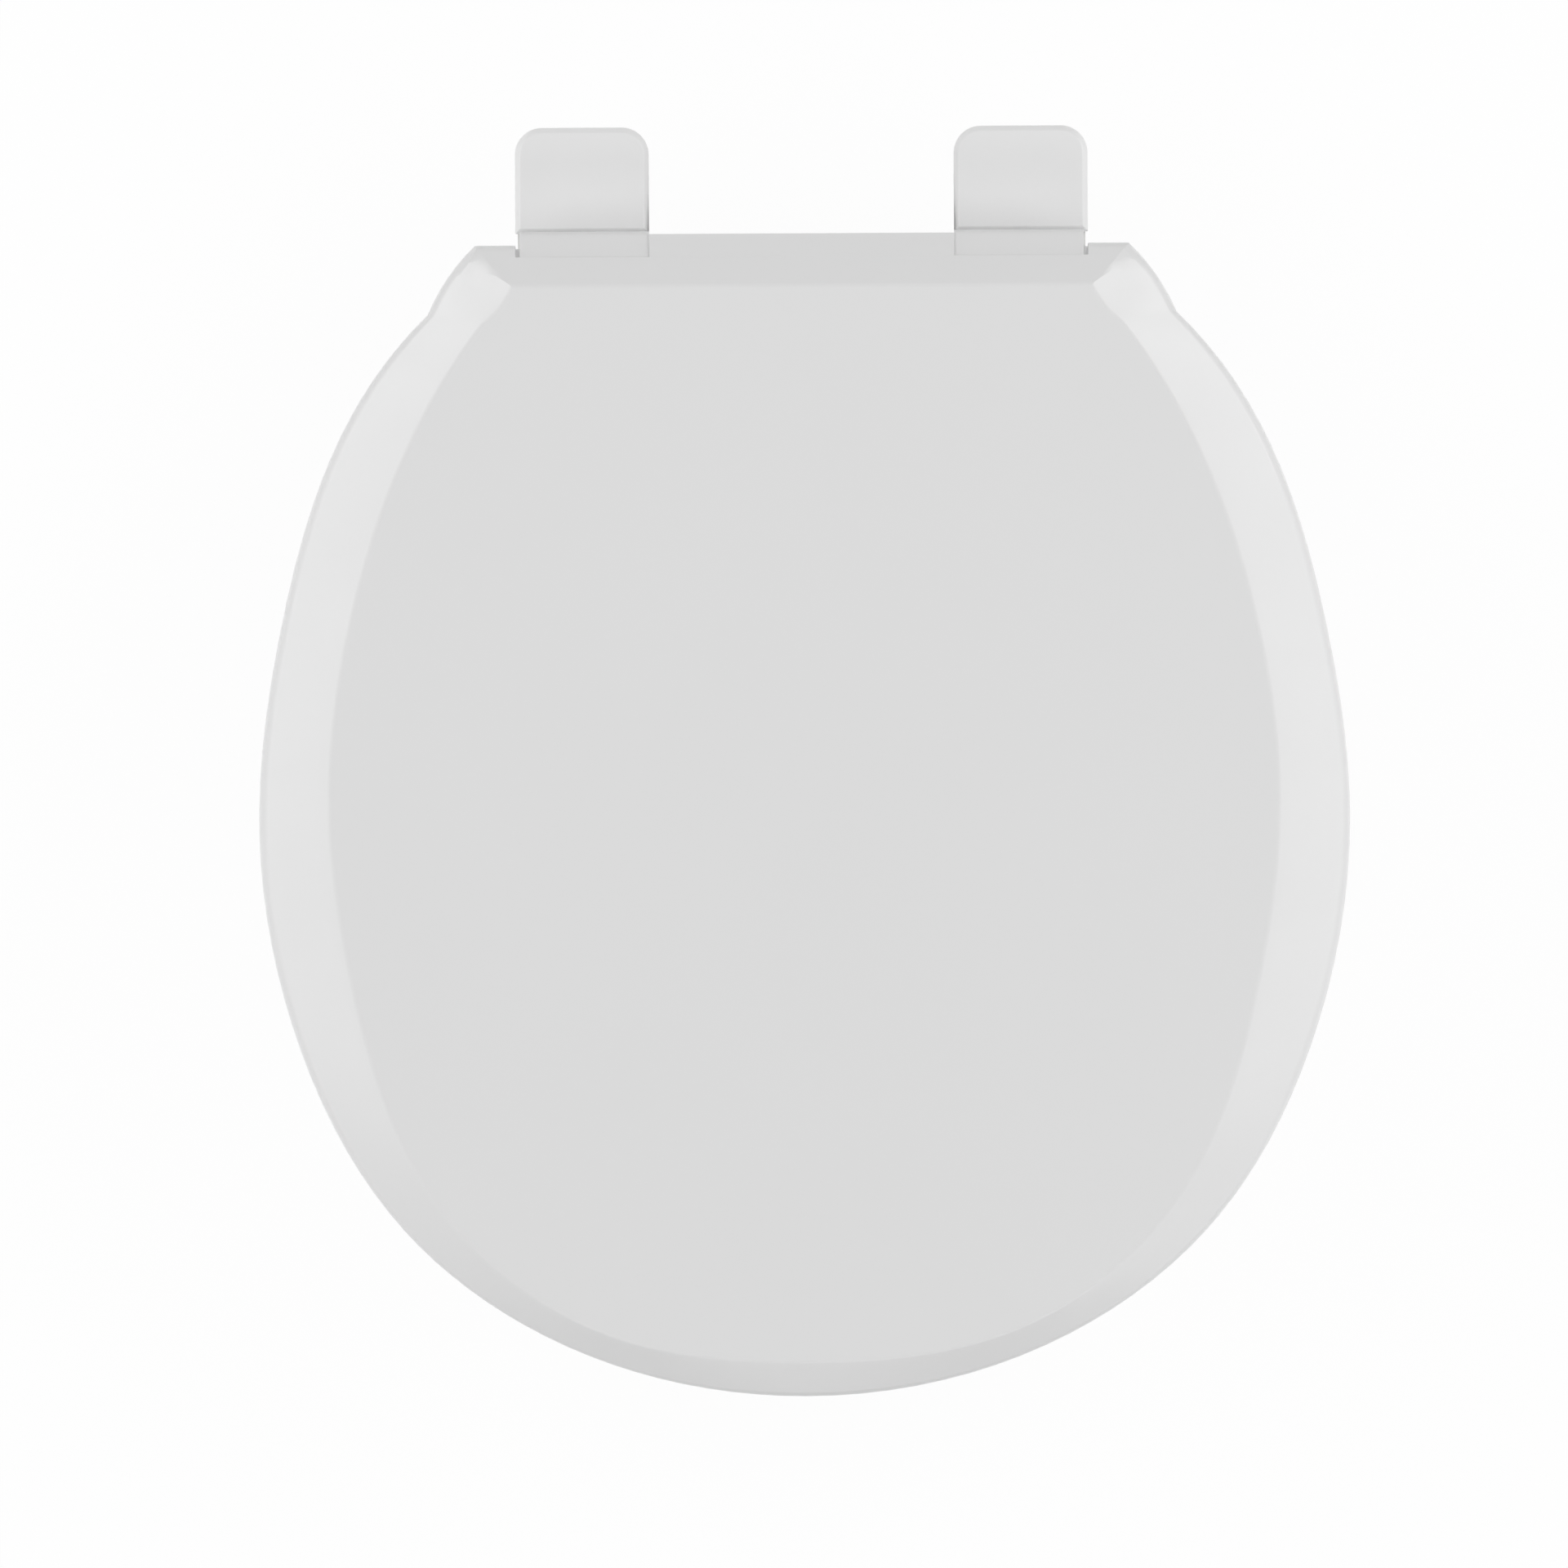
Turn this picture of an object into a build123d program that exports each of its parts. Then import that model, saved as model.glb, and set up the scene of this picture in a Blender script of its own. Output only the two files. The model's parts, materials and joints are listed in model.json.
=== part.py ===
"""Round-front plastic toilet seat with lid, closed, on two post hinges.

Millimetres. The origin lies on the bowl deck, midway between the two mounting bolts.
+Y points to the wall behind the bowl, +Z is up, and the seat reaches forward along -Y.
"""
import os
from math import atan2, cos, degrees, radians, sin

from build123d import *

# Hinge line, shared by seat and lid
hinge_y = -25.8
hinge_z = 35.2
pin_r = 2.5
pin_fit = 0.05
side_gap = 0.15
slit = 1.3

# Lid outline
lid_half = 180.9
lid_wide_y = -215.3
lid_back_reach = 230.4
lid_front_reach = 189.5
lid_back_power = 2.08
lid_front_power = 2.1
ear_x = 108.4
ear_y = -22.7
shoulder_x = 117.8
shoulder_y = -33.8
kink_x = 124.2
kink_y = -45.6

# Where each half outline is sampled, in degrees from its widest place, and how full it is there
oval_turns = (42, 21, 0, -22.5, -45, -67.5)
lid_swell = (1.005, 0.995, 1.0, 0.995, 1.005, 1.0)
crease_swell = (0.994, 0.992, 0.998, 0.98, 0.991, 1.0)

# Crease where the bevel meets the flat top
crease_half = 157.6
crease_wide_y = -207.1
crease_back_reach = 214.4
crease_front_reach = 186.3
crease_back_power = 2.0
crease_front_power = 2.45
crease_x = 96.4
crease_y = -36.4
crease_shoulder_x = 99.8
crease_shoulder_y = -42.9
crease_kink_x = 105.9
crease_kink_y = -48.5

# Lid heights and walls
lid_rim_z = 31.5
lid_edge_z = 41.5
lid_top_z = 48.5
lid_wall = 3.0
lid_edge_round = 2.6
edge_share = 0.13
soft_share = 0.045
notch_y = -26.7
tongue_y = -19.1
tongue_wall = 2.2
tongue_half = 50.6
tongue_round = 0.9
hollow_y = -46.0
clear = 30.0
ear_depth = 5.8

# Hinge posts
post_in_x = tongue_half + side_gap
post_out_x = 93.65
barrel_r = 7.65
barrel_flat = 6.43
barrel_gap = 0.3
neck_back_y = hinge_y - 3.0
neck_step_z = 22.0
block_back_y = -18.8
block_top_z = 18.0
core_wall = 3.0
core_top_z = 14.0
shelf_front_y = -31.0
shelf_back_y = -23.5
shelf_bottom_z = 6.0
ear_in_x = post_out_x + slit

# Hinge base, cap and pad
bolt_x = 139.7 / 2
pad_z = 1.5
floor_z = 4.5
cap_mid_x = 72.95
cap_width = 44.5
cap_back_y = 16.8
cap_front_y = -18.4
cap_corner = 9.0
cap_back_z = 11.6
cap_front_z = 14.6
cap_wall = 2.0
cap_edge = 1.6
cap_fit = 0.1
cap_lift = 0.3
cap_slope = (cap_front_z - cap_back_z) / (cap_back_y - cap_front_y)
pad_inset = 0.8

# Mounting bolt, washer and nut
stud_r = 4.0
thread_r = 3.8
stud_end_z = -24.0
bolt_end_z = -62.0
neck_side = 8.6
neck_fit = 0.15
head_r = 9.0
head_height = 3.8
head_round = 1.2
slot_width = 2.0
slot_depth = 1.6
bolt_lead = 1.0
washer_r = 12.0
washer_height = 2.0
washer_hole_r = 4.4
nut_r = 8.5
nut_height = 13.0
wing_reach = 19.0
wing_wall = 3.2
wing_round = 2.5
nut_taper = 5.0
nut_fit = 0.05

# Seat ring
ring_inset = 4.4
ring_back_y = -36.0
ring_bottom_z = 6.0
ring_top_z = 28.0
hole_half = 108.0
hole_wide_y = -212.0
hole_back_reach = 125.0
hole_front_reach = 135.0
hole_power = 2.1
ring_wall = 3.6
ring_outer_round = 10.0
ring_inner_round = 8.0
channel_z = 22.5
rib_z = 10.0
rib_wall = 2.6
rib_count = 14
rib_middle = 160.0
rib_reach = 200.0
rib_start = 90 + 180 / rib_count
ring_corner = 14.0
ring_lip = 1.0
arm_y = -50.0
arm_z = 18.0

# Lugs on the hinge pin
seat_lug_in_x = 27.2
seat_lug_out_x = 38.4
lug_r = 4.4
lug_gap = 0.35
lid_lug_in_x = seat_lug_out_x + side_gap
head_gap = 0.3
pin_head_r = 4.0
pin_head = 2.6
pin_depth_x = 91.0
recess_in_x = seat_lug_in_x - head_gap - pin_head - 1.0

# Soft buttons
bumper_r = 8.0
bumper_stem_r = 3.0
bumper_stem = 7.0
bumper_fit = 0.05
boss_r = 9.5
lid_boss_r = 7.0
lid_stem_r = 2.5
lid_bumper_r = 6.5
lid_bumper_z = ring_top_z + 0.25
lid_boss_z = 32.0
lid_bumper_x = 96.0
lid_bumper_y = -328.0
front_foot_x = 92.0
front_foot_y = -344.0
rear_foot_x = 112.0
rear_foot_y = -92.0


def oval_point(half, reach, power, turn):
    """A point of an oval about its own middle, in the direction turn degrees from its widest place."""
    across = abs(cos(radians(turn))) / half
    along = abs(sin(radians(turn))) / reach
    distance = (across**power + along**power) ** (-1 / power)
    return (distance * cos(radians(turn)), distance * sin(radians(turn)))


def oval_x(half, reach, power, rise):
    """Half the width of an oval at a given rise from its widest place."""
    return half * (1 - (rise / reach) ** power) ** (1 / power)


def oval_from(start, half, wide_y, back, back_power, front, front_power, swell):
    """One smooth curve from a point at the back, round the front, to its mirrored point."""
    right = [start]
    for turn, grow in zip(oval_turns, swell):
        reach, power = (front, front_power) if turn < 0 else (back, back_power)
        x, rise = oval_point(half, reach, power, turn)
        right.append((x * grow, wide_y + rise * grow))
    left = [(-x, y) for x, y in reversed(right)]
    Spline(*right, (0, wide_y - front), *left)


def between(start, end, share):
    """A value part of the way from start to end."""
    return start + (end - start) * share


def lid_outline(share, inset=0.0, back=0.0):
    """Lid outline part of the way up the bevel: rim at 0, crease at 1, drawn in by an inset.

    A straight back edge, rounded shoulders beside the hinges, then the oval.
    """
    rim = ((ear_x, ear_y), (shoulder_x, shoulder_y), (kink_x, kink_y))
    crease = (
        (crease_x, crease_y),
        (crease_shoulder_x, crease_shoulder_y),
        (crease_kink_x, crease_kink_y),
    )
    corner, shoulder, kink = [
        (between(r[0], c[0], share) - inset, between(r[1], c[1], share) - inset / 2)
        for r, c in zip(rim, crease)
    ]
    corner = (corner[0], corner[1] - back)
    shoulder = (shoulder[0], shoulder[1] - back / 2)
    ThreePointArc(corner, shoulder, kink)
    oval_from(
        kink,
        between(lid_half, crease_half, share) - inset,
        between(lid_wide_y, crease_wide_y, share),
        between(lid_back_reach, crease_back_reach, share) - inset,
        between(lid_back_power, crease_back_power, share),
        between(lid_front_reach, crease_front_reach, share) - inset,
        between(lid_front_power, crease_front_power, share),
        [between(rim_at, crease_at, share) for rim_at, crease_at in zip(lid_swell, crease_swell)],
    )
    ThreePointArc((-kink[0], kink[1]), (-shoulder[0], shoulder[1]), (-corner[0], corner[1]))
    Line((-corner[0], corner[1]), corner)


def bevel_z(y):
    """Height of the sloping back of the lid."""
    return lid_top_z - (y - crease_y) * (lid_top_z - lid_edge_z) / (ear_y - crease_y)


os.makedirs("parts", exist_ok=True)

# Lid: bevelled shell, notched for the hinge posts, with a tongue between them
bevel_rise = lid_top_z - lid_edge_z
bevel_slope = degrees(atan2(bevel_rise, ear_y - crease_y))
edge_low_z = lid_edge_z - lid_edge_round
edge_high_z = lid_edge_z + bevel_rise * edge_share
soft_low_z = lid_top_z - bevel_rise * soft_share


def bend(low, middle, high, part):
    """Height on a curve that leaves along low to middle and arrives along middle to high."""
    return low * (1 - part) ** 2 + 2 * middle * part * (1 - part) + high * part**2


lid_side = [(0.0, lid_rim_z)]
for part in (0, 1 / 3, 2 / 3, 1):
    lid_side.append((edge_share * part**2, bend(edge_low_z, lid_edge_z, edge_high_z, part)))
lid_side.append((1 - soft_share, soft_low_z))
lid_crease = [
    (1 - soft_share + 2 * soft_share * part, bend(soft_low_z, lid_top_z, lid_top_z, part))
    for part in (0, 1 / 2, 1)
]
with BuildPart() as lid:
    for band, flat in ((lid_side, True), (lid_crease, False)):
        for share, height in band:
            with BuildSketch(Plane.XY.offset(height)):
                with BuildLine():
                    lid_outline(share)
                make_face()
        loft(ruled=flat)
    for share, inset, height in (
        (0.0, lid_wall, lid_rim_z - 1),
        (0.0, lid_wall, lid_edge_z - 2),
        (1.0, 1.0, lid_top_z - lid_wall),
    ):
        with BuildSketch(Plane.XY.offset(height)):
            with BuildLine():
                lid_outline(share, inset, ear_depth)
            make_face()
    loft(ruled=True, mode=Mode.SUBTRACT)
    with BuildSketch(Plane.XY.offset(lid_rim_z - 1)):
        with Locations((0, notch_y)):
            Rectangle(2 * ear_in_x, clear, align=(Align.CENTER, Align.MIN))
    extrude(amount=lid_top_z, mode=Mode.SUBTRACT)
    with BuildSketch(Plane.YZ):
        Polygon(
            (hollow_y, lid_rim_z - 1),
            (notch_y, lid_rim_z - 1),
            (notch_y, bevel_z(notch_y) - tongue_wall - 0.5),
            (crease_y, lid_top_z - lid_wall),
            (hollow_y, lid_top_z - lid_wall),
            align=None,
        )
    extrude(amount=ear_in_x, both=True, mode=Mode.SUBTRACT)
    for side in (1, -1):
        with BuildSketch(Plane.YZ.offset(side * tongue_half)):
            with Locations((hinge_y, hinge_z)):
                Circle(barrel_r + barrel_gap)
        extrude(amount=side * (ear_in_x - tongue_half), mode=Mode.SUBTRACT)
    with BuildSketch(Plane.YZ) as tongue:
        Polygon(
            (notch_y - 1, bevel_z(notch_y - 1)),
            (tongue_y, bevel_z(tongue_y)),
            (tongue_y, bevel_z(tongue_y) - tongue_wall),
            (notch_y - 1, bevel_z(notch_y - 1) - tongue_wall),
            align=None,
        )
        fillet(tongue.vertices().sort_by(Axis.Y)[-2:], tongue_round)
    extrude(amount=tongue_half, both=True)
    for side in (1, -1):
        with BuildSketch(Plane.YZ.offset(side * lid_lug_in_x)):
            with Locations((hinge_y, hinge_z)):
                Circle(lug_r)
            Polygon(
                (hinge_y - lug_r, hinge_z),
                (hinge_y + lug_r, hinge_z),
                (hinge_y + lug_r, bevel_z(hinge_y + lug_r) - 0.6),
                (hinge_y - lug_r, bevel_z(hinge_y - lug_r) - 0.6),
                align=None,
            )
        extrude(amount=side * (tongue_half - lid_lug_in_x))
        with BuildSketch(Plane.YZ.offset(side * recess_in_x)):
            with Locations((hinge_y, hinge_z)):
                Circle(lug_r + lug_gap)
        extrude(amount=side * (lid_lug_in_x - recess_in_x), mode=Mode.SUBTRACT)
        with BuildSketch(Plane.YZ.offset(side * recess_in_x)):
            with Locations((hinge_y, hinge_z)):
                Circle(pin_r + pin_fit)
        extrude(amount=side * (tongue_half - recess_in_x), mode=Mode.SUBTRACT)
    with BuildSketch(Plane.XY.offset(lid_boss_z)):
        with Locations((-lid_bumper_x, lid_bumper_y), (lid_bumper_x, lid_bumper_y)):
            Circle(lid_boss_r)
    extrude(amount=lid_top_z - lid_boss_z - lid_wall / 2)
    with BuildSketch(Plane.XY.offset(lid_boss_z)):
        with Locations((-lid_bumper_x, lid_bumper_y), (lid_bumper_x, lid_bumper_y)):
            Circle(lid_stem_r + bumper_fit)
    extrude(amount=bumper_stem + 0.5, mode=Mode.SUBTRACT)

lid.part.label = "lid"
export_step(lid.part, "parts/lid.step")

# Seat ring: rounded on top, channelled and ribbed underneath, with two lugs for the pins


def ring_edge(inset):
    """Outer edge of the ring: straight at the back, then the lid's oval drawn in."""
    half = lid_half - ring_inset - inset
    back = lid_back_reach - ring_inset - inset
    front = lid_front_reach - ring_inset - inset
    back_y = ring_back_y - inset
    x = oval_x(half, back, lid_back_power, back_y - lid_wide_y)
    oval_from((x, back_y), half, lid_wide_y, back, lid_back_power, front, lid_front_power, lid_swell)
    Line((-x, back_y), (x, back_y))


def ring_hole(grow):
    """Edge of the opening, grown outwards."""
    around = []
    for turn in range(0, 360, 20):
        reach = hole_back_reach if turn < 180 else hole_front_reach
        x, rise = oval_point(hole_half + grow, reach + grow, hole_power, turn)
        around.append((x, hole_wide_y + rise))
    Spline(*around, periodic=True)


feet = (
    ("front_left", -front_foot_x, front_foot_y),
    ("front_right", front_foot_x, front_foot_y),
    ("rear_left", -rear_foot_x, rear_foot_y),
    ("rear_right", rear_foot_x, rear_foot_y),
)
feet_at = [(x, y) for _, x, y in feet]
ring_bands = [(ring_bottom_z, ring_lip, ring_lip), (ring_bottom_z + ring_lip, 0.0, 0.0)]
for turn in (0, 22.5, 45, 67.5, 90):
    drawn_in = 1 - cos(radians(turn))
    height = ring_top_z - ring_outer_round * (1 - sin(radians(turn)))
    ring_bands.append((height, ring_outer_round * drawn_in, ring_inner_round * drawn_in))
with BuildPart() as ring_ribs:
    with BuildSketch(Plane.XY.offset(rib_z)) as rib_plan:
        with BuildLine():
            ring_edge(ring_wall / 2)
        make_face()
        with BuildLine():
            ring_hole(ring_wall / 2)
        make_face(mode=Mode.SUBTRACT)
        with Locations((0, hole_wide_y)):
            with PolarLocations(rib_middle, rib_count, start_angle=rib_start):
                Rectangle(rib_reach, rib_wall, mode=Mode.INTERSECT)
    extrude(amount=channel_z + 1 - rib_z)
with BuildPart() as seat_ring:
    for height, inset, grow in ring_bands:
        with BuildSketch(Plane.XY.offset(height)) as plan:
            with BuildLine():
                ring_edge(inset)
            make_face()
            fillet(plan.vertices().sort_by(Axis.Y)[-2:], ring_corner - inset / 2)
            with BuildLine():
                ring_hole(grow)
            make_face(mode=Mode.SUBTRACT)
    loft(ruled=True)
    for height in (ring_bottom_z - 1, channel_z):
        with BuildSketch(Plane.XY.offset(height)) as channel:
            with BuildLine():
                ring_edge(ring_wall)
            make_face()
            fillet(channel.vertices().sort_by(Axis.Y)[-2:], ring_corner - ring_wall)
            with BuildLine():
                ring_hole(ring_wall)
            make_face(mode=Mode.SUBTRACT)
    loft(ruled=True, mode=Mode.SUBTRACT)
    add(ring_ribs.part)
    with BuildSketch(Plane.XY.offset(ring_bottom_z)):
        with Locations(*feet_at):
            Circle(boss_r)
    extrude(amount=channel_z + 1 - ring_bottom_z)
    with BuildSketch(Plane.XY.offset(ring_bottom_z)):
        with Locations(*feet_at):
            Circle(bumper_stem_r + bumper_fit)
    extrude(amount=bumper_stem + 0.5, mode=Mode.SUBTRACT)
    for side in (1, -1):
        with BuildSketch(Plane.YZ.offset(side * seat_lug_in_x)):
            with Locations((hinge_y, hinge_z)):
                Circle(lug_r)
            Polygon(
                (hinge_y, hinge_z + lug_r),
                (hinge_y - 6, hinge_z + 3),
                (arm_y, ring_top_z - 1),
                (arm_y, arm_z),
                (ring_back_y - 1, arm_z),
                (hinge_y, hinge_z - lug_r),
                align=None,
            )
        extrude(amount=side * (seat_lug_out_x - seat_lug_in_x))
        with BuildSketch(Plane.YZ.offset(side * seat_lug_in_x)):
            with Locations((hinge_y, hinge_z)):
                Circle(pin_r + pin_fit)
        extrude(amount=side * (seat_lug_out_x - seat_lug_in_x), mode=Mode.SUBTRACT)
seat_ring.part.label = "seat_ring"
export_step(seat_ring.part, "parts/seat_ring.step")

# Soft feet under the ring and soft buttons under the lid
for name, x, y in feet:
    with BuildPart() as foot:
        with BuildSketch():
            with Locations((x, y)):
                Circle(bumper_r)
        extrude(amount=ring_bottom_z)
        with BuildSketch(Plane.XY.offset(ring_bottom_z)):
            with Locations((x, y)):
                Circle(bumper_stem_r)
        extrude(amount=bumper_stem)
    foot.part.label = "seat_bumper_" + name
    export_step(foot.part, "parts/seat_bumper_" + name + ".step")

for name, side in (("left", -1), ("right", 1)):
    with BuildPart() as button:
        with BuildSketch(Plane.XY.offset(lid_bumper_z)):
            with Locations((side * lid_bumper_x, lid_bumper_y)):
                Circle(lid_bumper_r)
        extrude(amount=lid_boss_z - lid_bumper_z)
        with BuildSketch(Plane.XY.offset(lid_boss_z)):
            with Locations((side * lid_bumper_x, lid_bumper_y)):
                Circle(lid_stem_r)
        extrude(amount=bumper_stem)
    button.part.label = "lid_bumper_" + name
    export_step(button.part, "parts/lid_bumper_" + name + ".step")

# Hinges: each side has a pad on the bowl, a post with its barrel, a pin and a snap-on cap
for name, side in (("left", -1), ("right", 1)):
    mid_x = side * cap_mid_x
    inner_width = cap_width - 2 * cap_wall
    with BuildPart() as base_pad:
        with BuildSketch() as outline:
            with Locations((mid_x, cap_back_y - pad_inset)):
                Rectangle(
                    cap_width - 2 * pad_inset,
                    cap_back_y - hinge_y + barrel_r - 2 * pad_inset,
                    align=(Align.CENTER, Align.MAX),
                )
            fillet(outline.vertices().sort_by(Axis.Y)[-2:], cap_corner - pad_inset)
            with Locations((side * bolt_x, 0)):
                Rectangle(neck_side + 2 * neck_fit, neck_side + 2 * neck_fit, mode=Mode.SUBTRACT)
        extrude(amount=pad_z)
    base_pad.part.label = "base_pad_" + name
    export_step(base_pad.part, "parts/base_pad_" + name + ".step")

    with BuildPart() as hinge_post:
        with BuildSketch(Plane.YZ.offset(side * post_in_x)):
            with Locations(Location((hinge_y, hinge_z, 0), (0, 0, -bevel_slope))):
                Circle(barrel_r)
                with Locations((0, barrel_flat)):
                    Rectangle(3 * barrel_r, barrel_r, align=(Align.CENTER, Align.MIN), mode=Mode.SUBTRACT)
            Polygon(
                (hinge_y - barrel_r, pad_z),
                (hinge_y - barrel_r, hinge_z),
                (neck_back_y, hinge_z),
                (neck_back_y, neck_step_z),
                (block_back_y, block_top_z),
                (block_back_y, pad_z),
                align=None,
            )
        extrude(amount=side * (post_out_x - post_in_x))
        with BuildSketch(Plane.XY.offset(shelf_bottom_z)):
            with Locations((side * (post_out_x + slit / 2), (shelf_front_y + shelf_back_y) / 2)):
                Rectangle(2 * slit, shelf_back_y - shelf_front_y)
        extrude(amount=block_top_z - shelf_bottom_z)
        with BuildSketch(Plane.XY.offset(pad_z)) as floor:
            with Locations((mid_x, block_back_y)):
                Rectangle(
                    inner_width - 2 * cap_fit,
                    cap_back_y - cap_wall - cap_fit - block_back_y,
                    align=(Align.CENTER, Align.MIN),
                )
            fillet(floor.vertices().sort_by(Axis.Y)[-2:], cap_corner - cap_wall)
        extrude(amount=floor_z - pad_z)
        with BuildSketch(Plane.XY.offset(pad_z)):
            with Locations((side * bolt_x, 0)):
                Rectangle(neck_side + 2 * neck_fit, neck_side + 2 * neck_fit)
        extrude(amount=floor_z - pad_z, mode=Mode.SUBTRACT)
        core_depth = block_back_y - (hinge_y - barrel_r) - 2 * core_wall
        core_width = (post_out_x - post_in_x - 3 * core_wall) / 2
        with BuildSketch(Plane.XY.offset(pad_z)):
            for cell in (-1, 1):
                cell_x = side * (post_in_x + post_out_x) / 2 + cell * (core_width + core_wall) / 2
                with Locations((cell_x, (block_back_y + hinge_y - barrel_r) / 2)):
                    Rectangle(core_width, core_depth)
        extrude(amount=core_top_z - pad_z, mode=Mode.SUBTRACT)
        with BuildSketch(Plane.YZ.offset(side * post_in_x)):
            with Locations((hinge_y, hinge_z)):
                Circle(pin_r + pin_fit)
        extrude(amount=side * (pin_depth_x + 0.5 - post_in_x), mode=Mode.SUBTRACT)
    hinge_post.part.label = "hinge_post_" + name
    export_step(hinge_post.part, "parts/hinge_post_" + name + ".step")

    with BuildPart() as hinge_pin:
        with BuildSketch(Plane.YZ.offset(side * (seat_lug_in_x - head_gap))):
            with Locations((hinge_y, hinge_z)):
                Circle(pin_r)
        extrude(amount=side * (pin_depth_x - seat_lug_in_x + head_gap))
        with BuildSketch(Plane.YZ.offset(side * (seat_lug_in_x - head_gap))):
            with Locations((hinge_y, hinge_z)):
                Circle(pin_head_r)
        extrude(amount=-side * pin_head)
    hinge_pin.part.label = "hinge_pin_" + name
    export_step(hinge_pin.part, "parts/hinge_pin_" + name + ".step")

    with BuildPart() as hinge_cap:
        with BuildSketch(Plane.XY.offset(pad_z + cap_lift)) as outline:
            with Locations((mid_x, cap_front_y)):
                Rectangle(cap_width, cap_back_y - cap_front_y, align=(Align.CENTER, Align.MIN))
            fillet(outline.vertices().sort_by(Axis.Y)[-2:], cap_corner)
        extrude(amount=cap_front_z)
        with BuildSketch(Plane.YZ.offset(mid_x)):
            Polygon(
                (cap_front_y - 5, cap_front_z + 5 * cap_slope),
                (cap_front_y - 5, clear),
                (cap_back_y + 5, clear),
                (cap_back_y + 5, cap_back_z - 5 * cap_slope),
                align=None,
            )
        extrude(amount=cap_width, both=True, mode=Mode.SUBTRACT)
        chamfer(hinge_cap.faces().sort_by(Axis.Z)[-1].edges(), cap_edge)
        offset(amount=-cap_wall, openings=hinge_cap.faces().sort_by(Axis.Z)[0])
        with BuildSketch(Plane.XY.offset(pad_z)):
            with Locations((mid_x, cap_front_y)):
                Rectangle(inner_width, 2 * cap_wall)
        extrude(amount=floor_z - pad_z + cap_lift, mode=Mode.SUBTRACT)
    hinge_cap.part.label = "hinge_cap_" + name
    export_step(hinge_cap.part, "parts/hinge_cap_" + name + ".step")

# Fasteners through the bowl
bolts_at = [(-bolt_x, 0), (bolt_x, 0)]
with BuildPart() as mounting_bolts:
    with BuildSketch(Plane.XY.offset(floor_z)):
        with Locations(*bolts_at):
            Circle(head_r)
    extrude(amount=head_height)
    chamfer(mounting_bolts.faces().sort_by(Axis.Z)[-2:].edges(), head_round)
    with BuildSketch(Plane.XY.offset(floor_z + head_height - slot_depth)):
        with Locations(*bolts_at):
            Rectangle(slot_width, 3 * head_r)
    extrude(amount=slot_depth + 1, mode=Mode.SUBTRACT)
    with BuildSketch():
        with Locations(*bolts_at):
            Rectangle(neck_side, neck_side)
    extrude(amount=floor_z)
    with BuildSketch():
        with Locations(*bolts_at):
            Circle(stud_r)
    extrude(amount=stud_end_z)
    with BuildSketch(Plane.XY.offset(stud_end_z)):
        with Locations(*bolts_at):
            Circle(thread_r)
    extrude(amount=bolt_end_z - stud_end_z)
    chamfer(mounting_bolts.faces().sort_by(Axis.Z)[:2].edges(), bolt_lead)
mounting_bolts.part.label = "mounting_bolts"
export_step(mounting_bolts.part, "parts/mounting_bolts.step")

washer_z = stud_end_z - 0.4
with BuildPart() as bolt_washers:
    with BuildSketch(Plane.XY.offset(washer_z)):
        with Locations(*bolts_at):
            Circle(washer_r)
            Circle(washer_hole_r, mode=Mode.SUBTRACT)
    extrude(amount=-washer_height)
bolt_washers.part.label = "bolt_washers"
export_step(bolt_washers.part, "parts/bolt_washers.step")

nut_z = washer_z - washer_height - 0.05
with BuildPart() as wing_nuts:
    with BuildSketch(Plane.XY.offset(nut_z)):
        with Locations(*bolts_at):
            Circle(nut_r)
    extrude(amount=-nut_height, taper=nut_taper)
    for x, _ in bolts_at:
        with BuildSketch(Plane.XZ) as wing:
            with Locations((x, nut_z)):
                Polygon(
                    (-nut_r / 2, -1),
                    (nut_r / 2, -1),
                    (wing_reach, -nut_height + 3),
                    (wing_reach, -nut_height - 5),
                    (nut_r / 2, -nut_height + 1),
                    (-nut_r / 2, -nut_height + 1),
                    (-wing_reach, -nut_height - 5),
                    (-wing_reach, -nut_height + 3),
                    align=None,
                )
            fillet(wing.vertices().filter_by(lambda v: abs(v.X - x) > nut_r), wing_round)
        extrude(amount=wing_wall / 2, both=True)
    with BuildSketch(Plane.XY.offset(nut_z)):
        with Locations(*bolts_at):
            Circle(thread_r + nut_fit)
    extrude(amount=-2 * nut_height, mode=Mode.SUBTRACT)
wing_nuts.part.label = "wing_nuts"
export_step(wing_nuts.part, "parts/wing_nuts.step")
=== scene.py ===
import json
from math import cos, pi, radians, sin

import bmesh
import bpy
from mathutils import Matrix, Vector


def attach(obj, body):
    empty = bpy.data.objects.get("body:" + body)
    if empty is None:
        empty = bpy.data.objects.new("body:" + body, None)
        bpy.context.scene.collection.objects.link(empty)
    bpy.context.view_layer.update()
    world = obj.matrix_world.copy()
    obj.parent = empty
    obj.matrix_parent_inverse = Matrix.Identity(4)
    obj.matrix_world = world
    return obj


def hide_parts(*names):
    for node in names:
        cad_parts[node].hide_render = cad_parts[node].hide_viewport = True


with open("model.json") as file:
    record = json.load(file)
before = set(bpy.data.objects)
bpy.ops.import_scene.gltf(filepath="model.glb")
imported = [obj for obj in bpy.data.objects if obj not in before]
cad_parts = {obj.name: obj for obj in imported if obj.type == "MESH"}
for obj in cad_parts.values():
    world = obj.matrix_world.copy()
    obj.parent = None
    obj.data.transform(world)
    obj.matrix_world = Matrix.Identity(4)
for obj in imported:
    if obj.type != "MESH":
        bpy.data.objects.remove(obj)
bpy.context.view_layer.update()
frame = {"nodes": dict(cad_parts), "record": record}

scene = bpy.context.scene
scene.view_settings.view_transform = "Standard"

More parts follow.
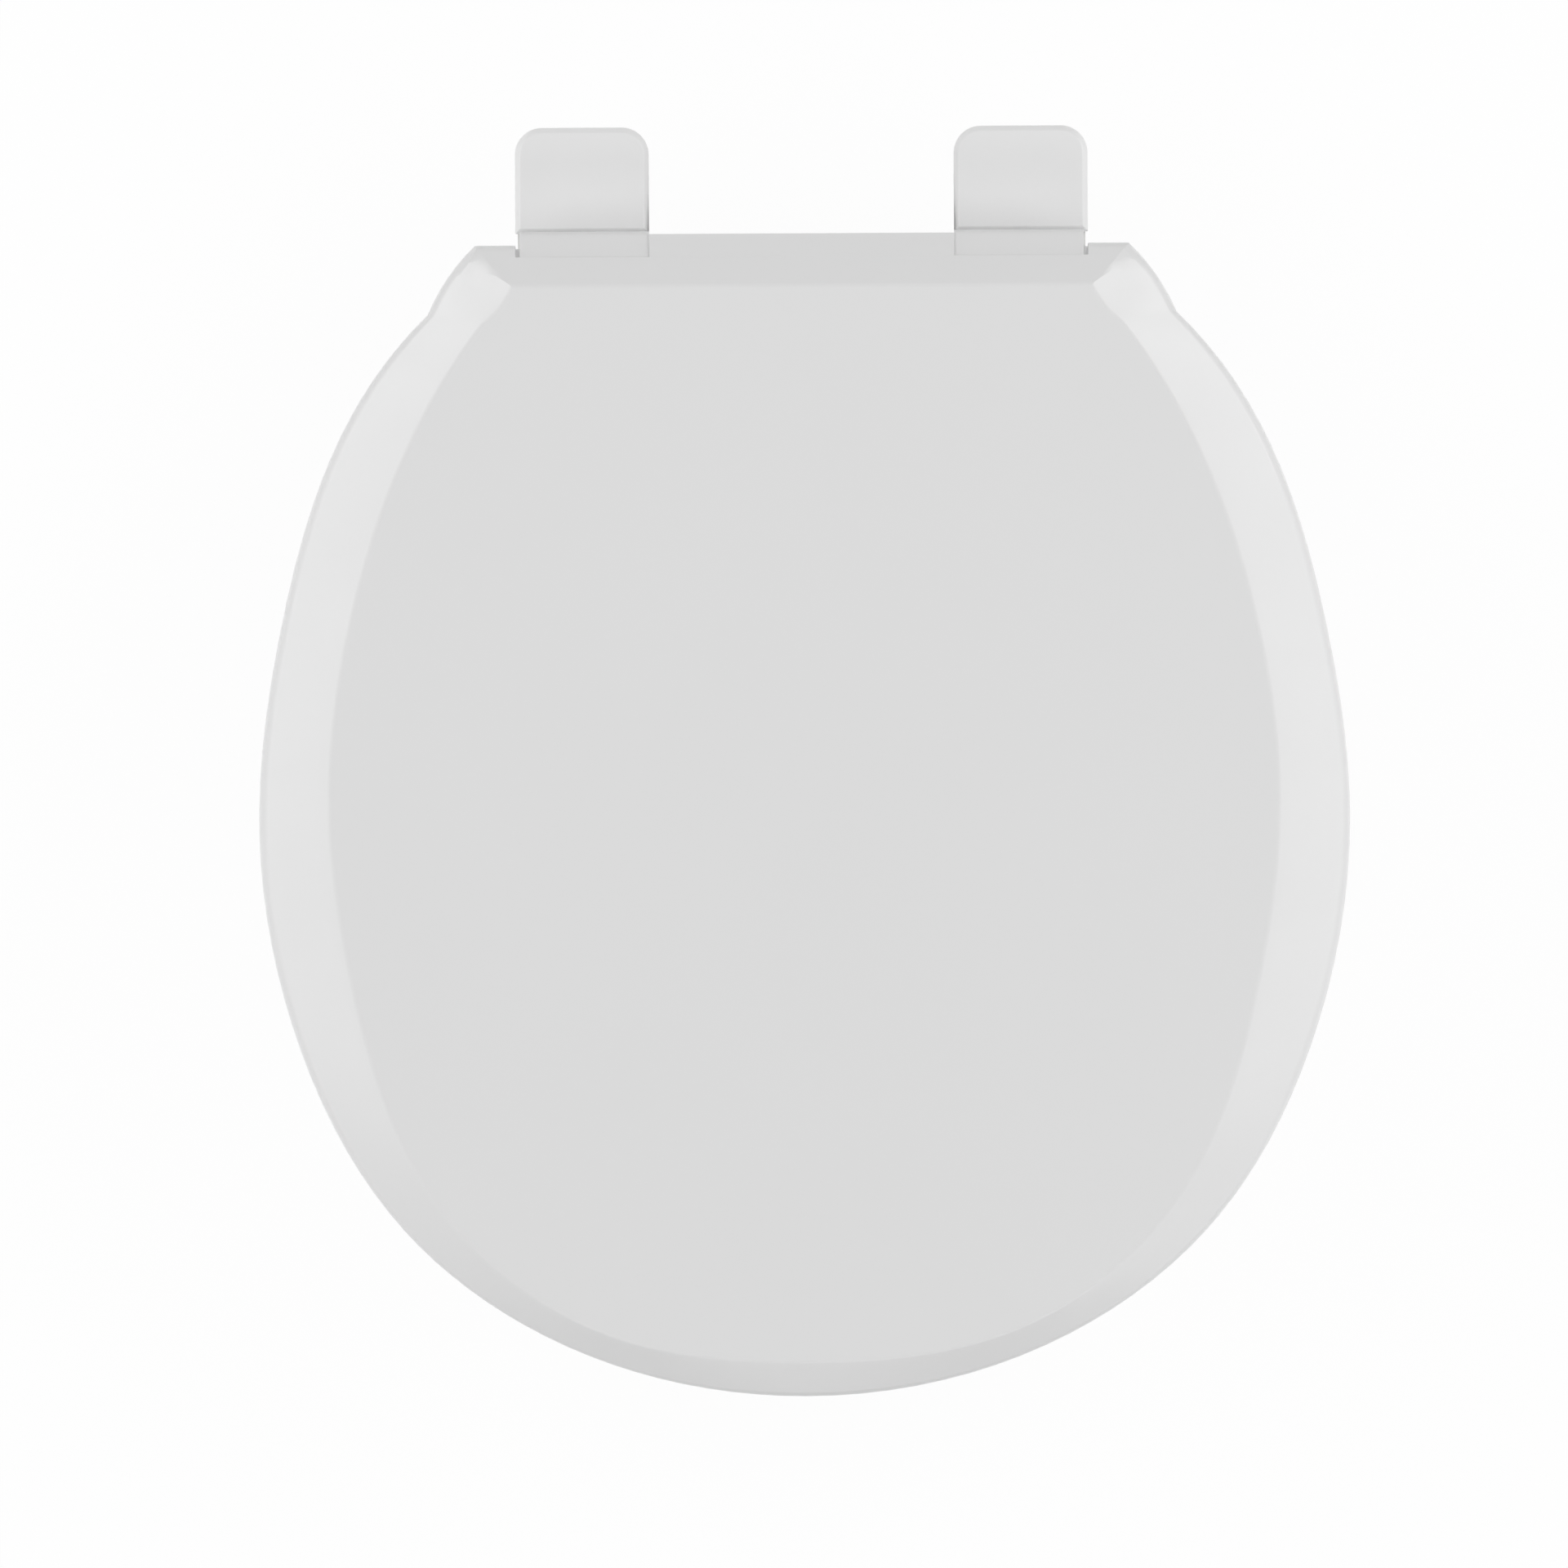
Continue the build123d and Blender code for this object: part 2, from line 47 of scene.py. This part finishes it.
# Lengths are in metres. The photograph's frame was measured in the plane of the lid's rim
view_width = 0.5199
view_centre = Vector((-0.0068, -0.2017, 0.0415))
view_distance = 12.0
view_roll = 0.3
sensor_width = 36

# Colours of the finishes
seat_white = (0.79, 0.79, 0.79, 1)
# The caps' white is the seat's white painted brighter: painted light that makes up for the shade the
# barrels cast on the low caps
cap_white_painted_brighter = (0.86, 0.86, 0.86, 1)
nylon_white = (0.74, 0.74, 0.725, 1)
vinyl_white = (0.70, 0.70, 0.685, 1)

# Skin of the mouldings: fineness of its clouds and rubbed spots, and the part of each noise that is used
cloud_scale = 14
cloud_detail = 3
cloud_range = (0.3, 0.7)
rub_scale = 45
rub_detail = 4
rub_range = (0.35, 0.65)
peel_detail = 1
peel_strength = 0.3
plastic_ior = 1.5

# Surroundings: the floor lies just under the bolts, and white_share of it is plain white to the camera
floor_z = -0.0645
floor_half = 4
floor_roughness = 0.9
backdrop_white = (0.95, 0.95, 0.95, 1)
pure_white = (1, 1, 1, 1)
white_share = 0.955
fill_grey = (0.1, 0.1, 0.1, 1)

# Points that the lamps face
seat_middle = (0, -0.2, 0)
seat_edge = (0, -0.1, 0.1)
behind_seat = (0, 0.9, 0)


def link(tree, source, output, target, socket):
    tree.links.new(source.outputs[output], target.inputs[socket])


def moulded_skin():
    """Shared effect: faint clouding of the colour, uneven gloss and the orange peel of a mould."""
    group = bpy.data.node_groups.new("moulded_skin", "ShaderNodeTree")
    for name, kind, value in (
        ("Colour", "NodeSocketColor", (0.8, 0.8, 0.8, 1)),
        ("Clouding", "NodeSocketFloat", 0.01),
        ("Gloss Low", "NodeSocketFloat", 0.25),
        ("Gloss High", "NodeSocketFloat", 0.35),
        ("Peel Scale", "NodeSocketFloat", 900.0),
    ):
        group.interface.new_socket(name, in_out="INPUT", socket_type=kind).default_value = value
    group.interface.new_socket("Colour", in_out="OUTPUT", socket_type="NodeSocketColor")
    group.interface.new_socket("Roughness", in_out="OUTPUT", socket_type="NodeSocketFloat")
    group.interface.new_socket("Peel", in_out="OUTPUT", socket_type="NodeSocketFloat")
    add = group.nodes.new
    given = add("NodeGroupInput")
    made = add("NodeGroupOutput")
    place = add("ShaderNodeTexCoord")
    clouds = add("ShaderNodeTexNoise")
    clouds.inputs["Scale"].default_value = cloud_scale
    clouds.inputs["Detail"].default_value = cloud_detail
    link(group, place, "Object", clouds, "Vector")
    depth = add("ShaderNodeMapRange")
    link(group, clouds, "Fac", depth, "Value")
    depth.inputs["From Min"].default_value = cloud_range[0]
    depth.inputs["From Max"].default_value = cloud_range[1]
    depth.inputs["To Min"].default_value = 1.0
    less = add("ShaderNodeMath")
    less.operation = "SUBTRACT"
    less.inputs[0].default_value = 1.0
    link(group, given, "Clouding", less, 1)
    link(group, less, "Value", depth, "To Max")
    tint = add("ShaderNodeVectorMath")
    tint.operation = "SCALE"
    link(group, given, "Colour", tint, 0)
    link(group, depth, "Result", tint, "Scale")
    link(group, tint, "Vector", made, "Colour")
    rub = add("ShaderNodeTexNoise")
    rub.inputs["Scale"].default_value = rub_scale
    rub.inputs["Detail"].default_value = rub_detail
    link(group, place, "Object", rub, "Vector")
    gloss = add("ShaderNodeMapRange")
    gloss.inputs["From Min"].default_value = rub_range[0]
    gloss.inputs["From Max"].default_value = rub_range[1]
    link(group, rub, "Fac", gloss, "Value")
    link(group, given, "Gloss Low", gloss, "To Min")
    link(group, given, "Gloss High", gloss, "To Max")
    link(group, gloss, "Result", made, "Roughness")
    peel = add("ShaderNodeTexNoise")
    peel.inputs["Detail"].default_value = peel_detail
    link(group, place, "Object", peel, "Vector")
    link(group, given, "Peel Scale", peel, "Scale")
    link(group, peel, "Fac", made, "Peel")
    return group


skin = moulded_skin()


def moulded(name, colour, clouding, gloss, peel_scale, peel_depth):
    """A moulded plastic or vinyl: colour, its clouding, gloss range, and the skin's fineness and depth."""
    material = bpy.data.materials.new(name)
    material.use_nodes = True
    tree = material.node_tree
    shader = tree.nodes["Principled BSDF"]
    shader.inputs["IOR"].default_value = plastic_ior
    surface = tree.nodes.new("ShaderNodeGroup")
    surface.node_tree = skin
    surface.inputs["Colour"].default_value = colour
    surface.inputs["Clouding"].default_value = clouding
    surface.inputs["Gloss Low"].default_value = gloss[0]
    surface.inputs["Gloss High"].default_value = gloss[1]
    surface.inputs["Peel Scale"].default_value = peel_scale
    link(tree, surface, "Colour", shader, "Base Color")
    link(tree, surface, "Roughness", shader, "Roughness")
    bump = tree.nodes.new("ShaderNodeBump")
    bump.inputs["Distance"].default_value = peel_depth
    bump.inputs["Strength"].default_value = peel_strength
    link(tree, surface, "Peel", bump, "Height")
    link(tree, bump, "Normal", shader, "Normal")
    return material


finishes = {
    "gloss_plastic": moulded(
        "gloss_seat_plastic",
        seat_white,
        clouding=0.006,
        gloss=(0.29, 0.33),
        peel_scale=900,
        peel_depth=0.00002,
    ),
    # The caps' finish is the seat plastic with its white painted brighter, standing in for light that the
    # barrels shade off the caps
    "cap": moulded(
        "gloss_cap_plastic_painted_brighter",
        cap_white_painted_brighter,
        clouding=0.006,
        gloss=(0.30, 0.34),
        peel_scale=1100,
        peel_depth=0.00002,
    ),
    "matte_plastic": moulded(
        "satin_nylon",
        nylon_white,
        clouding=0.03,
        gloss=(0.42, 0.55),
        peel_scale=1400,
        peel_depth=0.00004,
    ),
    "rubber": moulded(
        "soft_vinyl",
        vinyl_white,
        clouding=0.04,
        gloss=(0.55, 0.7),
        peel_scale=1800,
        peel_depth=0.00005,
    ),
}


# Radius of the moulded edges of each piece, by the start of its name
edge_radius = {
    "lid": 0.0004,
    "seat_ring": 0.0005,
    "hinge_post": 0.0005,
    "hinge_cap": 0.00035,
    "hinge_pin": 0.0003,
    "base_pad": 0.0004,
    "bolt_washers": 0.0003,
    "wing_nuts": 0.0005,
    "mounting_bolts": 0.0003,
    "lid_bumper": 0.0008,
    "seat_bumper": 0.0012,
}
round_segments = 3

# Edges that turn by more than sharp_angle are rounded, and faces within flat_angle of each other are joined
sharp_angle = radians(28)
flat_angle = radians(0.2)
weld_distance = 0.00012

# Faces under fold_area, in square metres, that a rounding turned over by more than fold_angle are closed
fold_area = 0.0000006
fold_angle = radians(135)
fold_passes = 6

# The lid's two mitres beside the hinges, seen from above: ends, how near a point counts, and how far along
mitre_outer = Vector((0.11038, -0.02837))
mitre_inner = Vector((0.09694, -0.03578))
mitre_reach = 0.0007
mitre_span = (-0.001, 0.02)

# The facet of each ear that turns to the back: its corner at the ear, on the rim and on the crease
facet_corners = (
    Vector((0.10684, -0.02448, 0.04241)),
    Vector((0.11038, -0.02837, 0.0432)),
    Vector((0.09694, -0.03578, 0.04818)),
)
facet_reach = 0.0012
facet_top = 0.0483

# The joints between barrels and tongue, and where the barrels end here
joint_x = (0.0503, 0.0511)
barrel_end_x = 0.05064

# The thin edge of the lid along its notches and tongue
groove_y = (-0.02695, -0.02615)
groove_z = 0.0426
groove_round = 0.00016


def on_mitre(point):
    """Whether a point lies on one of the lid's mitres, seen from above."""
    along = (mitre_inner - mitre_outer).normalized()
    offset = Vector((abs(point.x), point.y)) - mitre_outer
    reach = offset.dot(along)
    return abs(offset.cross(along)) < mitre_reach and mitre_span[0] < reach < mitre_span[1]


def on_joint(point):
    """Whether a point lies at a joint between barrel and tongue."""
    return joint_x[0] < abs(point.x) < joint_x[1]


def on_groove(point):
    """Whether a point lies on the thin edge of the lid along its notches and tongue."""
    return groove_y[0] < point.y < groove_y[1] and point.z > groove_z


def both_ends(edge, test):
    return all(test(corner.co) for corner in edge.verts)


def lift_ears(form):
    """Brings the lid's top beside each mitre onto the ear's facet."""
    ear, rim, crease = facet_corners
    normal = (rim - ear).cross(crease - ear)
    for corner in form.verts:
        point = Vector((abs(corner.co.x), corner.co.y, corner.co.z))
        drop = (point - ear).dot(normal) / normal.z
        sides = []
        for start, end in ((ear, rim), (rim, crease), (crease, ear)):
            sides.append((end - start).xy.normalized().cross((point - start).xy))
        inside = max(sides) < mitre_reach
        if inside and abs(drop) < facet_reach and corner.co.z - drop < facet_top:
            corner.co.z -= drop


def close_joint(form):
    """Brings a barrel's inner end up to the tongue, leaving a hairline."""
    for corner in form.verts:
        if on_joint(corner.co):
            corner.co.x = barrel_end_x if corner.co.x > 0 else -barrel_end_x


# Bolts: the CAD bolt is a plain core below its shank, thinned here to take the thread
bolt_x = 0.06985
shank_end_z = -0.0239
core_r = 0.0039
core_shrink = 3.3 / 3.8
thread_top_z = -0.0375
thread_end_z = -0.0612
thread_pitch = 0.0015
thread_root_r = 0.0031
thread_crest_r = 0.004
thread_half = 0.00062
crest_half = 0.00014
least_crest = 0.02
turn_steps = 40
run_out_steps = 20
thread_sharp_angle = radians(20)


def thin_bolt_core(form):
    """Takes the bolts' cores down to the root of the thread."""
    for corner in form.verts:
        axis = Vector((bolt_x if corner.co.x > 0 else -bolt_x, 0))
        offset = corner.co.xy - axis
        if corner.co.z < shank_end_z and offset.length < core_r:
            corner.co.xy = axis + offset * core_shrink


def bolt_thread(name, axis_x):
    """The ridge of a bolt's thread, wound down its core and run out at both ends."""
    form = bmesh.new()
    steps = round((thread_top_z - thread_end_z) / thread_pitch * turn_steps)
    rings = []
    for step in range(steps + 1):
        angle = 2 * pi * step / turn_steps
        z = thread_top_z - thread_pitch * step / turn_steps
        fade = min(1, step / run_out_steps, (steps - step) / run_out_steps)
        crest = thread_root_r + (thread_crest_r - thread_root_r) * max(fade, least_crest)
        ring = []
        for radius, rise in (
            (thread_root_r, thread_half),
            (crest, crest_half),
            (crest, -crest_half),
            (thread_root_r, -thread_half),
        ):
            ring.append(form.verts.new((axis_x + radius * cos(angle), radius * sin(angle), z + rise)))
        rings.append(ring)
    for ring, after in zip(rings, rings[1:]):
        for corner in range(len(ring)):
            beside = (corner + 1) % len(ring)
            form.faces.new((ring[corner], ring[beside], after[beside], after[corner]))
    form.faces.new(rings[0])
    form.faces.new(reversed(rings[-1]))
    bmesh.ops.recalc_face_normals(form, faces=form.faces)
    for face in form.faces:
        face.smooth = True
    for edge in form.edges:
        edge.smooth = edge.calc_face_angle(0) < thread_sharp_angle
    mesh = bpy.data.meshes.new(name)
    form.to_mesh(mesh)
    form.free()
    thread = bpy.data.objects.new(name, mesh)
    scene.collection.objects.link(thread)
    mesh.materials.append(finishes["matte_plastic"])
    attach(thread, "base")


def mend_folds(form):
    """Closes the tiny faces that a rounding folds over where edges crowd together."""
    for _ in range(fold_passes):
        folded = []
        for face in form.faces:
            small = face.calc_area() < fold_area
            if small and any(edge.calc_face_angle(0) > fold_angle for edge in face.edges):
                folded.append(face)
        for face in folded:
            if face.is_valid:
                bmesh.ops.pointmerge(form, verts=face.verts[:], merge_co=face.calc_center_median())


def round_edges(form, edges, radius):
    bmesh.ops.bevel(
        form,
        geom=edges,
        offset=radius,
        offset_type="OFFSET",
        segments=round_segments,
        profile=0.5,
        affect="EDGES",
        clamp_overlap=False,
    )


def ease_groove(form):
    """Gives the thin edge along the lid's notches and tongue a finer rounding than the other edges."""
    eased = []
    for edge in form.edges:
        if both_ends(edge, on_groove) and edge.calc_face_angle_signed(0) > sharp_angle:
            eased.append(edge)
    round_edges(form, eased, groove_round)


def moulded_piece(name, radius):
    """A node's solid with the small rounded edges and the even shading of a moulding."""
    mesh = frame["nodes"][name].data.copy()
    mesh.materials.clear()
    for layer in ("custom_normal", "sharp_face", "sharp_edge"):
        if layer in mesh.attributes:
            mesh.attributes.remove(mesh.attributes[layer])
    form = bmesh.new()
    form.from_mesh(mesh)
    bmesh.ops.remove_doubles(form, verts=form.verts, dist=weld_distance)
    bmesh.ops.dissolve_limit(form, angle_limit=flat_angle, verts=form.verts, edges=form.edges)
    if name == "lid":
        lift_ears(form)
        ease_groove(form)
    if name == "mounting_bolts":
        thin_bolt_core(form)
    if name.startswith("hinge_post"):
        close_joint(form)
    rounded = []
    for face in form.faces:
        face.smooth = True
    for edge in form.edges:
        turn = edge.calc_face_angle_signed(0)
        crisp = both_ends(edge, on_joint) or both_ends(edge, on_groove)
        if both_ends(edge, on_mitre):
            edge.smooth = False
        elif turn > sharp_angle and not crisp:
            rounded.append(edge)
        elif abs(turn) > sharp_angle:
            edge.smooth = False
    round_edges(form, rounded, radius)
    mend_folds(form)
    form.to_mesh(mesh)
    form.free()
    piece = bpy.data.objects.new(name + "_moulding", mesh)
    scene.collection.objects.link(piece)
    shading = piece.modifiers.new("even_shading", "WEIGHTED_NORMAL")
    shading.keep_sharp = True
    return piece


def mould_all():
    """Each CAD node gets its moulded piece, on the same body and in the finish of its class; the caps
    instead get the seat's white painted brighter, as painted light against the shade under the barrels.
    """
    body_of = {}
    for body, names in frame["record"]["behaviour"]["bodies"].items():
        for name in names:
            body_of[name] = body
    for entry in frame["record"]["materials"]:
        name = entry["slot"]
        starts = [start for start in edge_radius if name.startswith(start)]
        piece = moulded_piece(name, edge_radius[max(starts, key=len)])
        # Caps take the finish painted brighter than the seat's, as painted light against the shade under
        # the barrels
        kind = "cap" if "cap" in name else entry["class"]
        piece.data.materials.append(finishes[kind])
        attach(piece, body_of[name])
        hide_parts(name)


def white_to_camera(tree):
    """A factor that is 1 where the camera, a reflection or a clear surface looks at it."""
    path = tree.nodes.new("ShaderNodeLightPath")
    seen = tree.nodes.new("ShaderNodeMath")
    seen.operation = "MAXIMUM"
    link(tree, path, "Is Camera Ray", seen, 0)
    link(tree, path, "Is Glossy Ray", seen, 1)
    clear = tree.nodes.new("ShaderNodeMath")
    clear.operation = "MAXIMUM"
    link(tree, seen, "Value", clear, 0)
    link(tree, path, "Is Transmission Ray", clear, 1)
    return clear


def studio_world():
    """Plain white to the camera, and a faint grey fill as light."""
    world = bpy.data.worlds.new("studio")
    scene.world = world
    world.use_nodes = True
    tree = world.node_tree
    fill = tree.nodes["Background"]
    fill.inputs["Color"].default_value = fill_grey
    white = tree.nodes.new("ShaderNodeBackground")
    white.inputs["Color"].default_value = pure_white
    mix = tree.nodes.new("ShaderNodeMixShader")
    link(tree, white_to_camera(tree), "Value", mix, "Fac")
    link(tree, fill, "Background", mix, 1)
    link(tree, white, "Background", mix, 2)
    link(tree, mix, "Shader", tree.nodes["World Output"], "Surface")


def studio_floor():
    """A pale floor that is nearly plain white to the camera, and clear from below."""
    mesh = bpy.data.meshes.new("floor")
    corners = [
        (-floor_half, -floor_half, floor_z),
        (floor_half, -floor_half, floor_z),
        (floor_half, floor_half, floor_z),
        (-floor_half, floor_half, floor_z),
    ]
    mesh.from_pydata(corners, [], [(0, 1, 2, 3)])
    floor = bpy.data.objects.new("floor", mesh)
    scene.collection.objects.link(floor)
    material = bpy.data.materials.new("pale_floor")
    material.use_nodes = True
    tree = material.node_tree
    shader = tree.nodes["Principled BSDF"]
    shader.inputs["Base Color"].default_value = backdrop_white
    shader.inputs["Roughness"].default_value = floor_roughness
    glow = tree.nodes.new("ShaderNodeEmission")
    glow.inputs["Color"].default_value = pure_white
    mix = tree.nodes.new("ShaderNodeMixShader")
    share = tree.nodes.new("ShaderNodeMath")
    share.operation = "MULTIPLY"
    share.inputs[1].default_value = white_share
    link(tree, white_to_camera(tree), "Value", share, 0)
    link(tree, share, "Value", mix, "Fac")
    link(tree, shader, "BSDF", mix, 1)
    link(tree, glow, "Emission", mix, 2)
    side = tree.nodes.new("ShaderNodeNewGeometry")
    clear = tree.nodes.new("ShaderNodeBsdfTransparent")
    below = tree.nodes.new("ShaderNodeMixShader")
    link(tree, side, "Backfacing", below, "Fac")
    link(tree, mix, "Shader", below, 1)
    link(tree, clear, "BSDF", below, 2)
    link(tree, below, "Shader", tree.nodes["Material Output"], "Surface")
    mesh.materials.append(material)


def softbox(name, bearing, lean, distance, aim, size, power):
    """A soft lamp that faces a point, at a bearing from +X and leaning from the vertical, in degrees."""
    lamp = bpy.data.lights.new(name, "AREA")
    lamp.shape = "RECTANGLE"
    lamp.size = size[0]
    lamp.size_y = size[1]
    lamp.energy = power
    light = bpy.data.objects.new(name, lamp)
    scene.collection.objects.link(light)
    turn = Matrix.Rotation(radians(bearing), 4, "Z") @ Matrix.Rotation(radians(lean), 4, "Y")
    light.matrix_world = Matrix.Translation(aim) @ turn @ Matrix.Translation((0, 0, distance))
    return light


def photo_camera():
    lens = bpy.data.cameras.new("photo_camera")
    lens.sensor_width = sensor_width
    lens.lens = sensor_width * view_distance / view_width
    camera = bpy.data.objects.new("photo_camera", lens)
    scene.collection.objects.link(camera)
    camera.location = view_centre + Vector((0, 0, view_distance))
    camera.rotation_euler = (0, 0, radians(-view_roll))
    scene.camera = camera


mould_all()
bolt_thread("bolt_thread_left", -bolt_x)
bolt_thread("bolt_thread_right", bolt_x)
studio_world()
studio_floor()
for side in (0, 180):
    softbox("side_softbox", side, lean=42, distance=2, aim=seat_middle, size=(0.8, 1.2), power=7.5)
    softbox("rear_side_softbox", side, lean=42, distance=2, aim=behind_seat, size=(0.8, 1), power=10.3)
    panel = softbox("low_side_panel", side, lean=84, distance=1.5, aim=seat_edge, size=(0.4, 2.8), power=8)
    panel.visible_glossy = False
softbox("front_softbox", -82, lean=50, distance=2, aim=seat_middle, size=(0.8, 2.6), power=10.7)
softbox("overhead_softbox", 0, lean=0, distance=2, aim=seat_middle, size=(2, 2), power=3.7)
photo_camera()
